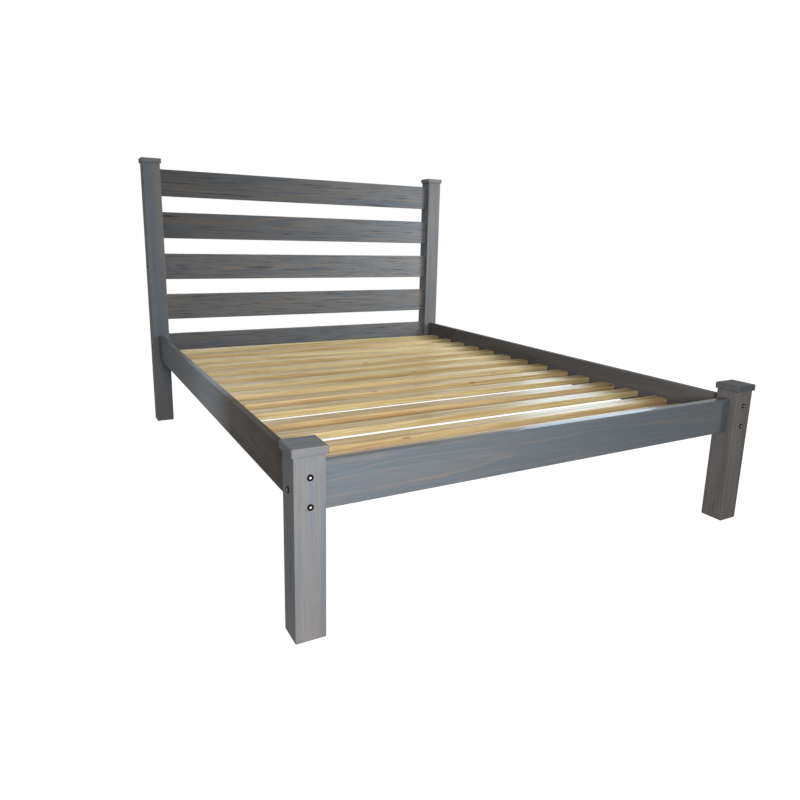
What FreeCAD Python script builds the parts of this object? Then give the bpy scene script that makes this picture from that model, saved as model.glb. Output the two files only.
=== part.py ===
"""Queen-size platform bed in pine: capped square posts, a five-rail headboard and a slat deck.

The bed is made to come apart. Every rail ends in a stub tenon that seats in a mortise of
its post, and long bolts go through the posts and bite into the ends of the rails. The caps
sit on tenons at the tops of the posts, and the slats lie loose on a cleat along each side.

The origin is on the floor under the middle of the bed. +X is to the right of a person who
stands at the foot and faces the headboard, +Y points to the headboard and +Z is up.
Lengths are millimetres. Each size stands once, in SIZES, and the rest is worked out.
"""
import FreeCAD, Part
import os

import Sketcher

SIZES = (
    ("bay_width", 1549, "between the side rails: a 1524 mattress and a finger's room"),
    ("bay_length", 2057, "between the foot rail and the head rails: a 2032 mattress"),
    ("post_width", 79, "side of the square posts"),
    ("post_edge_radius", 3, "rounding of a post's long edges"),
    ("foot_post_rise", 27, "from the top of the rails to the top of a foot post"),
    ("head_post_rise", 24, "from the top of the top rail to the top of a head post"),
    ("cap_overhang", 5.5, "how far a cap stands out past its post"),
    ("cap_thickness", 22, "thickness of a cap"),
    ("cap_edge_radius", 3, "rounding of a cap's top edge"),
    ("cap_lower_bevel", 1.5, "bevel of a cap's lower edge"),
    ("cap_tenon_width", 30, "side of the square tenon on a post, inside its cap"),
    ("cap_tenon_height", 12, "height of that tenon"),
    ("side_rail_thickness", 22, "thickness of the side rails"),
    ("cross_rail_thickness", 28, "thickness of the foot rail and the headboard rails"),
    ("rail_height", 120, "height of the side rails and the foot rail"),
    ("rail_top", 440, "top of those rails above the floor"),
    ("rail_edge_radius", 4, "rounding of the rails' long edges"),
    ("head_rail_height", 125, "height of a headboard rail"),
    ("head_rail_gap", 74.5, "open gap between two headboard rails"),
    ("tenon_thickness", 16, "thickness of the stub tenons"),
    ("tenon_length", 15, "length of the stub tenons"),
    ("tenon_shoulder", 12, "shoulder above and below a tenon"),
    ("bolt_diameter", 8, "shank of a bolt"),
    ("bolt_head_diameter", 16, "flat round head of a bolt"),
    ("bolt_head_height", 2.8, "height of that head"),
    ("bolt_bite", 68, "how far a bolt reaches into a rail past its shoulder"),
    ("bolt_edge", 24, "from a side rail's top or bottom to the nearer bolt"),
    ("hex_width", 5, "hexagon socket in a bolt's head, across its flats"),
    ("hex_depth", 4, "depth of that socket"),
    ("slat_width", 60, "width of a slat"),
    ("slat_thickness", 22.5, "thickness of a slat"),
    ("slat_bevel", 1.5, "bevel of a slat's long edges"),
    ("slat_end_gap", 3, "from a slat's end to the side rail"),
    ("slat_margin", 128, "from the foot or head rail to the middle of the nearest slat"),
    ("cleat_thickness", 20, "thickness of a cleat"),
    ("cleat_height", 28, "height of a cleat"),
    ("cleat_rise", 3.5, "from the bottom of a side rail to the bottom of its cleat"),
    ("cleat_run_past", 10, "how far a cleat runs on past the outermost slats"),
    ("cleat_bevel", 1.5, "bevel of a cleat's long edges"),
    ("fit_gap", 0.2, "clearance round everything that sits in a hole or a mortise"),
    ("overrun", 5, "how far a cut that goes right through runs past the wood"),
)

HEAD_RAIL_COUNT = 5
BOLTED_HEAD_RAILS = (1, 3, 5)
LEFT, RIGHT = -1, 1
FOOT, HEAD = -1, 1
SIDE_WORD = {LEFT: "left", RIGHT: "right"}
END_WORD = {FOOT: "foot", HEAD: "head"}

# The slats were laid by eye: each lies off its even place by this share of the pitch.
SLAT_SHIFT_SHARES = (
    0.03, 0.05, 0.04, 0.02, 0.05, 0.02, 0.035, 0, 0, 0.02, -0.02, 0.065, 0.055, 0.19,
)
SLAT_COUNT = len(SLAT_SHIFT_SHARES)

# A dimension holds this much until its expression sets it.
STAND_IN = 1
PARALLEL = 1e-6

POST_X = "(Sizes.bay_width + Sizes.side_rail_thickness) / 2"
POST_Y = "(Sizes.bay_length + Sizes.cross_rail_thickness) / 2"
CROSS_LENGTH = "(Sizes.bay_width + Sizes.side_rail_thickness - Sizes.post_width)"
SIDE_LENGTH = "(Sizes.bay_length + Sizes.cross_rail_thickness - Sizes.post_width)"
RAIL_Z = "(Sizes.rail_top - Sizes.rail_height / 2)"
HEAD_PITCH = "(Sizes.head_rail_height + Sizes.head_rail_gap)"
FOOT_POST_HEIGHT = "(Sizes.rail_top + Sizes.foot_post_rise)"
BOLT_SPREAD = "(Sizes.rail_height / 2 - Sizes.bolt_edge)"
BOLT_LENGTH = "(Sizes.post_width + Sizes.bolt_bite)"
BOLT_HOLE = "(Sizes.bolt_diameter + 2 * Sizes.fit_gap)"
BORE_DEPTH = "(Sizes.tenon_length + Sizes.bolt_bite + Sizes.fit_gap)"
MORTISE_DEPTH = "(Sizes.tenon_length + Sizes.fit_gap)"
SLAT_LENGTH = "(Sizes.bay_width - 2 * Sizes.slat_end_gap)"
SLAT_PITCH = f"((Sizes.bay_length - 2 * Sizes.slat_margin) / {SLAT_COUNT - 1})"
CLEAT_LENGTH = (
    "(Sizes.bay_length - 2 * Sizes.slat_margin + Sizes.slat_width + 2 * Sizes.cleat_run_past)"
)
CLEAT_X = "(Sizes.bay_width / 2 - Sizes.cleat_thickness / 2)"
RAIL_BOTTOM = "(Sizes.rail_top - Sizes.rail_height)"
CLEAT_Z = f"({RAIL_BOTTOM} + Sizes.cleat_rise + Sizes.cleat_height / 2)"
CLEAT_TOP = f"({RAIL_BOTTOM} + Sizes.cleat_rise + Sizes.cleat_height)"
SLAT_Z = f"({CLEAT_TOP} + Sizes.slat_thickness / 2)"

X_AXIS = FreeCAD.Vector(1, 0, 0)
Y_AXIS = FreeCAD.Vector(0, 1, 0)
Z_AXIS = FreeCAD.Vector(0, 0, 1)

document = FreeCAD.newDocument("PlatformBed")
nodes = []


def fill_sheet():
    """Write every driving size into the sheet, with its name and what it measures."""
    sheet = document.addObject("Spreadsheet::Sheet", "Sizes")
    for row, (name, value, meaning) in enumerate(SIZES, start=1):
        sheet.set(f"A{row}", meaning)
        sheet.set(f"B{row}", str(value))
        sheet.setAlias(f"B{row}", name)
    document.recompute()


def head_rail_z(number):
    """Height of the middle of a headboard rail: rail 5 is level with the side rails."""
    return f"({RAIL_Z} + {HEAD_RAIL_COUNT - number} * {HEAD_PITCH})"


def head_post_height():
    """Height of a head post up to its cap."""
    return f"({head_rail_z(1)} + Sizes.head_rail_height / 2 + Sizes.head_post_rise)"


def slat_y(number):
    """Place of a slat along the bed: slat 1 is the nearest to the headboard."""
    steps = (SLAT_COUNT - 1) / 2 - (number - 1) + SLAT_SHIFT_SHARES[number - 1]
    return f"({steps} * {SLAT_PITCH})"


def new_body(name, x, y, z):
    """An empty body with its own name and place."""
    body = document.addObject("PartDesign::Body", name)
    body.Label = name
    for axis, place in (("x", x), ("y", y), ("z", z)):
        body.setExpression(f"Placement.Base.{axis}", place)
    return body


def new_sketch(body, name, plane, level="0"):
    """A sketch on one of the body's own planes, moved by a level along the plane's normal."""
    sketch = body.newObject("Sketcher::SketchObject", name)
    support = next(item for item in body.Origin.OriginFeatures if item.Role == plane)
    sketch.AttachmentSupport = [(support, "")]
    sketch.MapMode = "FlatFace"
    sketch.setExpression("AttachmentOffset.Base.z", level)
    return sketch


def pin_point(sketch, geometry, vertex, place):
    """Hold a point of a sketch at a place, given as two expressions."""
    for kind, distance in zip(("DistanceX", "DistanceY"), place):
        constraint = Sketcher.Constraint(kind, -1, 1, geometry, vertex, STAND_IN)
        index = sketch.addConstraint(constraint)
        sketch.setExpression(f"Constraints[{index}]", distance)


def draw_outline(sketch, places):
    """A closed outline of straight lines from place to place."""
    first, count = sketch.GeometryCount, len(places)
    # The lines start out along a parabola, where no two are parallel, and are then pinned.
    corners = [FreeCAD.Vector(step, step ** 2, 0) for step in range(count + 1)]
    for start, end in zip(corners, corners[1:]):
        sketch.addGeometry(Part.LineSegment(start, end))
    for index, place in enumerate(places):
        line, following = first + index, first + (index + 1) % count
        sketch.addConstraint(Sketcher.Constraint("Coincident", line, 2, following, 1))
        pin_point(sketch, line, 1, place)


def draw_rectangle(sketch, width, height, middle=("0", "0")):
    """A rectangle round a middle."""
    u, v = middle
    draw_outline(sketch, [
        (f"{u} + {right} * {width} / 2", f"{v} + {up} * {height} / 2")
        for right, up in ((-1, -1), (1, -1), (1, 1), (-1, 1))
    ])


def draw_circles(sketch, places, diameter):
    """Equal circles at several places."""
    for place in places:
        circle = Part.Circle(FreeCAD.Vector(0, 0, 0), Z_AXIS, STAND_IN)
        geometry = sketch.addGeometry(circle)
        pin_point(sketch, geometry, 3, place)
        index = sketch.addConstraint(Sketcher.Constraint("Diameter", geometry, STAND_IN))
        sketch.setExpression(f"Constraints[{index}]", diameter)


def pad(body, name, sketch, length, symmetric=True):
    """Extrude a sketch, both ways from its plane or up from it."""
    feature = body.newObject("PartDesign::Pad", name)
    feature.Profile = sketch
    feature.SideType = "Symmetric" if symmetric else "One side"
    feature.setExpression("Length", length)
    document.recompute()
    return feature


def cut(body, name, sketch, depth, along_normal=False, through=False):
    """Cut a sketch into the body, and check that it took wood away."""
    before = body.Shape.Volume
    feature = body.newObject("PartDesign::Pocket", name)
    feature.Profile = sketch
    feature.AllowMultiFace = True
    feature.SideType = "Symmetric" if through else "One side"
    feature.Reversed = along_normal
    feature.setExpression("Length", depth)
    document.recompute()
    if body.Shape.Volume >= before:
        raise RuntimeError(f"{name} cuts nothing")
    return feature


def drill(body, name, plane, level, places, diameter, depth, along_normal=False):
    """Round holes of one depth from a level, with or against the plane's normal."""
    sketch = new_sketch(body, f"{name}_sketch", plane, level)
    draw_circles(sketch, places, diameter)
    return cut(body, name, sketch, depth, along_normal)


def drill_through(body, name, plane, places, diameter, width):
    """Round holes right through a piece that is as wide as given."""
    sketch = new_sketch(body, f"{name}_sketch", plane)
    draw_circles(sketch, places, diameter)
    return cut(body, name, sketch, f"{width} + 2 * Sizes.overrun", through=True)


def edges_along(shape, direction):
    """Names of the straight edges that run in a direction."""
    return [
        f"Edge{number}" for number, edge in enumerate(shape.Edges, start=1)
        if edge.Curve.TypeId == "Part::GeomLine"
        and edge.Curve.Direction.cross(direction).Length < PARALLEL
    ]


def end_face(shape, direction):
    """Name of the face that lies furthest in a direction."""
    reach = [face.CenterOfMass.dot(direction) for face in shape.Faces]
    return [f"Face{reach.index(max(reach)) + 1}"]


def round_off(body, name, base, parts, radius):
    """Round the named edges, or those of the named faces, of a body's last feature."""
    feature = body.newObject("PartDesign::Fillet", name)
    feature.Base = (base, parts)
    feature.setExpression("Radius", radius)
    document.recompute()
    return feature


def bevel(body, name, base, parts, size):
    """Bevel the named edges, or those of the named faces, of a body's last feature."""
    feature = body.newObject("PartDesign::Chamfer", name)
    feature.Base = (base, parts)
    feature.setExpression("Size", size)
    document.recompute()
    return feature


def cut_mortises(body, name, plane, level, heights, rail_height, along_normal):
    """Mortises one above another in a face of a post, for the tenons of its rails."""
    sketch = new_sketch(body, f"{name}_sketch", plane, level)
    width = "(Sizes.tenon_thickness + 2 * Sizes.fit_gap)"
    mortise_height = f"({rail_height} - 2 * Sizes.tenon_shoulder + 2 * Sizes.fit_gap)"
    for height in heights:
        draw_rectangle(sketch, width, mortise_height, ("0", height))
    cut(body, name, sketch, MORTISE_DEPTH, along_normal)


def make_post(end, side):
    """A square post, bored for its bolts and mortised for the rails that it takes."""
    name = f"{END_WORD[end]}_post_{SIDE_WORD[side]}"
    height = FOOT_POST_HEIGHT if end == FOOT else head_post_height()
    body = new_body(name, f"{side} * {POST_X}", f"{end} * {POST_Y}", "0")
    section = new_sketch(body, f"{name}_section", "XY_Plane")
    draw_rectangle(section, "Sizes.post_width", "Sizes.post_width")
    blank = pad(body, f"{name}_blank", section, height, symmetric=False)
    edges = edges_along(blank.Shape, Z_AXIS)
    round_off(body, f"{name}_edges", blank, edges, "Sizes.post_edge_radius")
    tenon = new_sketch(body, f"{name}_tenon_section", "XY_Plane", height)
    draw_rectangle(tenon, "Sizes.cap_tenon_width", "Sizes.cap_tenon_width")
    pad(body, f"{name}_tenon", tenon, "Sizes.cap_tenon_height", symmetric=False)

    drill_through(
        body, f"{name}_side_bolts", "XZ_Plane",
        [("0", f"{RAIL_Z} + {up} * {BOLT_SPREAD}") for up in (1, -1)],
        BOLT_HOLE, "Sizes.post_width",
    )
    # The side rail meets the face that looks along the bed, whichever end the post is at.
    cut_mortises(
        body, f"{name}_side_mortise", "XZ_Plane", f"{end} * Sizes.post_width / 2",
        [RAIL_Z], "Sizes.rail_height", along_normal=end == FOOT,
    )
    if end == FOOT:
        bolted, mortised, rail_height = [RAIL_Z], [RAIL_Z], "Sizes.rail_height"
    else:
        bolted = [head_rail_z(number) for number in BOLTED_HEAD_RAILS]
        mortised = [head_rail_z(number) for number in range(1, HEAD_RAIL_COUNT + 1)]
        rail_height = "Sizes.head_rail_height"
    drill_through(
        body, f"{name}_cross_bolts", "YZ_Plane", [("0", z) for z in bolted],
        BOLT_HOLE, "Sizes.post_width",
    )
    cut_mortises(
        body, f"{name}_cross_mortise", "YZ_Plane", f"{-side} * Sizes.post_width / 2",
        mortised, rail_height, along_normal=side == RIGHT,
    )
    nodes.append(body)


def make_cap(end, side):
    """A flat square cap with an eased top edge, mortised underneath for its post."""
    name = f"{END_WORD[end]}_cap_{SIDE_WORD[side]}"
    height = FOOT_POST_HEIGHT if end == FOOT else head_post_height()
    body = new_body(name, f"{side} * {POST_X}", f"{end} * {POST_Y}", height)
    width = "(Sizes.post_width + 2 * Sizes.cap_overhang)"
    section = new_sketch(body, f"{name}_section", "XY_Plane")
    draw_rectangle(section, width, width)
    blank = pad(body, f"{name}_blank", section, "Sizes.cap_thickness", symmetric=False)
    top = end_face(blank.Shape, Z_AXIS)
    eased = round_off(body, f"{name}_top", blank, top, "Sizes.cap_edge_radius")
    bottom = end_face(eased.Shape, -Z_AXIS)
    bevel(body, f"{name}_lower_edge", eased, bottom, "Sizes.cap_lower_bevel")
    mortise = new_sketch(body, f"{name}_mortise_sketch", "XY_Plane")
    side_of_mortise = "(Sizes.cap_tenon_width + 2 * Sizes.fit_gap)"
    draw_rectangle(mortise, side_of_mortise, side_of_mortise)
    depth = "Sizes.cap_tenon_height + Sizes.fit_gap"
    cut(body, f"{name}_mortise", mortise, depth, along_normal=True)
    nodes.append(body)


def make_tenoned_rail(name, place, plane, direction, length, section_size, bolt_places):
    """A rail with rounded long edges, a stub tenon at each end and bores for its bolts."""
    thickness, height = section_size
    body = new_body(name, *place)
    section = new_sketch(body, f"{name}_section", plane)
    draw_rectangle(section, thickness, height)
    blank = pad(body, f"{name}_blank", section, length)
    edges = edges_along(blank.Shape, direction)
    round_off(body, f"{name}_edges", blank, edges, "Sizes.rail_edge_radius")
    tenon = new_sketch(body, f"{name}_tenon_section", plane)
    draw_rectangle(tenon, "Sizes.tenon_thickness", f"({height} - 2 * Sizes.tenon_shoulder)")
    pad(body, f"{name}_tenons", tenon, f"{length} + 2 * Sizes.tenon_length")
    if bolt_places:
        for end, word in ((-1, "low"), (1, "high")):
            drill(
                body, f"{name}_{word}_bore", plane,
                f"{end} * ({length} / 2 + Sizes.tenon_length)", bolt_places,
                BOLT_HOLE, BORE_DEPTH, along_normal=end < 0,
            )
    nodes.append(body)


def make_cross_rail(name, y, z, height, bolted):
    """A rail across the bed, with one bolt at each end or held by its tenons alone."""
    make_tenoned_rail(
        name, ("0", y, z), "YZ_Plane", X_AXIS, CROSS_LENGTH,
        ("Sizes.cross_rail_thickness", height),
        [("0", "0")] if bolted else [],
    )


def make_side_rail(side):
    """A side rail, with two bolts one above the other at each end."""
    make_tenoned_rail(
        f"side_rail_{SIDE_WORD[side]}", (f"{side} * {POST_X}", "0", RAIL_Z), "XZ_Plane",
        Y_AXIS, SIDE_LENGTH, ("Sizes.side_rail_thickness", "Sizes.rail_height"),
        [("0", f"{up} * {BOLT_SPREAD}") for up in (1, -1)],
    )


def make_cleat(side):
    """A strip along a side rail that carries the slats' ends."""
    name = f"cleat_{SIDE_WORD[side]}"
    body = new_body(name, f"{side} * {CLEAT_X}", "0", CLEAT_Z)
    section = new_sketch(body, f"{name}_section", "XZ_Plane")
    draw_rectangle(section, "Sizes.cleat_thickness", "Sizes.cleat_height")
    blank = pad(body, f"{name}_blank", section, CLEAT_LENGTH)
    edges = edges_along(blank.Shape, Y_AXIS)
    bevel(body, f"{name}_edges", blank, edges, "Sizes.cleat_bevel")
    nodes.append(body)


def make_slat(number):
    """A slat with eased edges, which lies on the cleats."""
    name = f"slat_{number:02d}"
    body = new_body(name, "0", slat_y(number), SLAT_Z)
    section = new_sketch(body, f"{name}_section", "YZ_Plane")
    draw_rectangle(section, "Sizes.slat_width", "Sizes.slat_thickness")
    blank = pad(body, f"{name}_blank", section, SLAT_LENGTH)
    edges = edges_along(blank.Shape, X_AXIS)
    bevel(body, f"{name}_edges", blank, edges, "Sizes.slat_bevel")
    nodes.append(body)


def make_bolt_pattern():
    """One bolt: a flat round head with a hexagon socket, and its shank pointing down."""
    body = document.addObject("PartDesign::Body", "bolt")
    head = new_sketch(body, "bolt_head_outline", "XY_Plane")
    draw_circles(head, [("0", "0")], "Sizes.bolt_head_diameter")
    pad(body, "bolt_head", head, "Sizes.bolt_head_height", symmetric=False)
    shank = new_sketch(body, "bolt_shank_outline", "XY_Plane", f"-{BOLT_LENGTH}")
    draw_circles(shank, [("0", "0")], "Sizes.bolt_diameter")
    pad(body, "bolt_shank", shank, BOLT_LENGTH, symmetric=False)
    socket = new_sketch(body, "bolt_hexagon", "XY_Plane", "Sizes.bolt_head_height")
    corner = "Sizes.hex_width / sqrt(3)"
    draw_outline(socket, [
        (f"{corner} * cos({angle})", f"{corner} * sin({angle})") for angle in range(0, 360, 60)
    ])
    cut(body, "bolt_socket", socket, "Sizes.hex_depth")
    return body


def make_group(name, pattern, places):
    """A node of equal pieces: a copy of the pattern at each place, turned as given."""
    copies = []
    for number, (rotation, place) in enumerate(places, start=1):
        copy = document.addObject("App::Link", f"{name}_{number}")
        copy.LinkedObject = pattern
        copy.Placement.Rotation = rotation
        for axis, distance in zip("xyz", place):
            copy.setExpression(f"Placement.Base.{axis}", distance)
        copies.append(copy)
    group = document.addObject("Part::Compound", name)
    group.Label = name
    group.Links = copies
    nodes.append(group)


def facing_x(side):
    """Turns a bolt's head to the left or to the right of the bed."""
    return FreeCAD.Rotation(Y_AXIS, 90 * side)


def facing_y(end):
    """Turns a bolt's head to the foot or to the head of the bed."""
    return FreeCAD.Rotation(X_AXIS, -90 * end)


def cross_bolt_places(y, heights):
    """Places of the bolts that run across the bed, from the outer faces of two posts."""
    return [
        (facing_x(side), (f"{side} * ({POST_X} + Sizes.post_width / 2)", y, z))
        for z in heights for side in (LEFT, RIGHT)
    ]


def make_bolts():
    """The bolts, as a node for each kind of rail that they hold."""
    bolt = make_bolt_pattern()
    foot_y, head_y = f"{FOOT} * {POST_Y}", f"{HEAD} * {POST_Y}"
    head_heights = [head_rail_z(number) for number in BOLTED_HEAD_RAILS]
    make_group("foot_rail_bolts", bolt, cross_bolt_places(foot_y, [RAIL_Z]))
    make_group("head_rail_bolts", bolt, cross_bolt_places(head_y, head_heights))
    make_group("side_rail_bolts", bolt, [
        (facing_y(end), (f"{side} * {POST_X}", f"{end} * ({POST_Y} + Sizes.post_width / 2)",
                         f"{RAIL_Z} + {up} * {BOLT_SPREAD}"))
        for end in (FOOT, HEAD) for side in (LEFT, RIGHT) for up in (1, -1)
    ])


def check_document():
    """Stop if anything failed to build or came out as a bad shape."""
    for item in document.Objects:
        if "Invalid" in item.State or "Error" in item.State:
            raise RuntimeError(f"{item.Label} failed: {item.State}")
    for node in nodes:
        if node.Shape.isNull() or not node.Shape.isValid():
            raise RuntimeError(f"{node.Label} has a bad shape")


def write_steps():
    """Write each node to a file of its own and print what it holds."""
    os.makedirs("parts", exist_ok=True)
    for node in nodes:
        node.Shape.exportStep(f"parts/{node.Label}.step")
        box = node.Shape.BoundBox
        print(
            f"{node.Label}: {len(node.Shape.Solids)} solid(s), {box.XLength:.1f} x "
            f"{box.YLength:.1f} x {box.ZLength:.1f}, {node.Shape.Volume / 1000:.1f} cm3"
        )


def main():
    """Build the bed piece by piece, check it and write it out."""
    fill_sheet()
    for end in (FOOT, HEAD):
        for side in (LEFT, RIGHT):
            make_post(end, side)
            make_cap(end, side)
    make_cross_rail("foot_rail", f"{FOOT} * {POST_Y}", RAIL_Z, "Sizes.rail_height", True)
    for number in range(1, HEAD_RAIL_COUNT + 1):
        make_cross_rail(
            f"head_rail_{number}", f"{HEAD} * {POST_Y}", head_rail_z(number),
            "Sizes.head_rail_height", number in BOLTED_HEAD_RAILS,
        )
    for side in (LEFT, RIGHT):
        make_side_rail(side)
        make_cleat(side)
    for number in range(1, SLAT_COUNT + 1):
        make_slat(number)
    make_bolts()
    document.recompute()
    check_document()
    write_steps()


main()
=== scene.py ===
"""Looks of a queen-size pine bed: grained boards, black bolts and a plain white studio.

Every board is laid out from the box of the CAD node that it stands for, and carries its own
coordinates in the log that it was sawn from. The two pine finishes read those, so rings,
fibres and end grain run through each board as they do in solid timber.
"""
import logging
import math
import random
from dataclasses import dataclass, field
from enum import Enum
from typing import ClassVar

import bmesh
import bpy
from mathutils import Matrix, Vector


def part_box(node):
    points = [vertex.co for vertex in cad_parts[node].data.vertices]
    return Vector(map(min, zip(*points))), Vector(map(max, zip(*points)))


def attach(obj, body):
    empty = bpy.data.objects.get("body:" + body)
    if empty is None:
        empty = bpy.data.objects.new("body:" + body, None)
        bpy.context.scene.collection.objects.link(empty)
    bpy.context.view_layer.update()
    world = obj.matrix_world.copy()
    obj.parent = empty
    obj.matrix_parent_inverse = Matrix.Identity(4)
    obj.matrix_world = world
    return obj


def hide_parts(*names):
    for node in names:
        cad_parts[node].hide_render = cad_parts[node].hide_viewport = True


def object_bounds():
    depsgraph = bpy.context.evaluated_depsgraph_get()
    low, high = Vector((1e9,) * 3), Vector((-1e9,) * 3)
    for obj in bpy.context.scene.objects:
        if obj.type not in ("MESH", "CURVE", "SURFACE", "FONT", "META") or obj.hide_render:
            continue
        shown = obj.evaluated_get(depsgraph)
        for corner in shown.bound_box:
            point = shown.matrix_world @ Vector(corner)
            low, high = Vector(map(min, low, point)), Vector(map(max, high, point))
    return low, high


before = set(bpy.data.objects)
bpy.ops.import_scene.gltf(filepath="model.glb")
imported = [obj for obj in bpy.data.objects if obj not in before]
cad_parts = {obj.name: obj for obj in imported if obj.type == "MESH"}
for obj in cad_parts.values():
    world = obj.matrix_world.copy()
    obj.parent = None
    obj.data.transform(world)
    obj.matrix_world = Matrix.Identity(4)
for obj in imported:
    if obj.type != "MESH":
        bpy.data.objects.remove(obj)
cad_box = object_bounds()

Colour = tuple[float, float, float, float]
Place = tuple[float, float, float]
Span = tuple[float, float]
Marks = tuple[Place, ...]
Socket = bpy.types.NodeSocket

GRAIN = "grain"
CUT = "cut"
BODY = "root"
IMAGE_SIDE = 800
SENSOR_WIDTH = 36.0
HEXAGON = 6
WHITE: Colour = (1.0, 1.0, 1.0, 1.0)
PLAIN_MARKS: Marks = ((0.0, 1.0, 0.1),)
MID_RANGE: Span = (0.3, 0.7)

log = logging.getLogger("bed")


def join_rings(mesh: bmesh.types.BMesh, rings: list[list[bmesh.types.BMVert]],
               smooth: bool) -> None:
    """Join each ring of points to the next with four-sided faces.

    Args:
        mesh: Where the faces go.
        rings: The rings, which all have the same number of points.
        smooth: Whether the faces are shaded as one curved surface.
    """
    for ring, following in zip(rings, rings[1:]):
        for index, point in enumerate(ring):
            after = (index + 1) % len(ring)
            face = mesh.faces.new((point, ring[after], following[after], following[index]))
            face.smooth = smooth


def hang(name: str, data: bpy.types.ID) -> bpy.types.Object:
    """Make an object of a mesh, a lamp or a camera and put it in the scene.

    Args:
        name: The object's name.
        data: What it is made of.

    Returns:
        The object.
    """
    made = bpy.data.objects.new(name, data)
    bpy.context.scene.collection.objects.link(made)
    return made


def cast(name: str, mesh: bmesh.types.BMesh) -> bpy.types.Object:
    """Turn finished faces into an object in the scene.

    Args:
        name: The object's name.
        mesh: Its faces, which are let go.

    Returns:
        The object.
    """
    data = bpy.data.meshes.new(name)
    mesh.to_mesh(data)
    mesh.free()
    return hang(name, data)


class Axis(Enum):
    """The direction that a board's grain runs in."""

    X = 0
    Y = 1
    Z = 2

    def others(self) -> tuple[int, int]:
        """The two directions across the board, in right-handed order."""
        return (self.value + 1) % 3, (self.value + 2) % 3


class Slot(Enum):
    """The record's material slots."""

    STAINED = "stained_pine"
    BARE = "natural_pine"
    BLACK = "black_steel"


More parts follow.
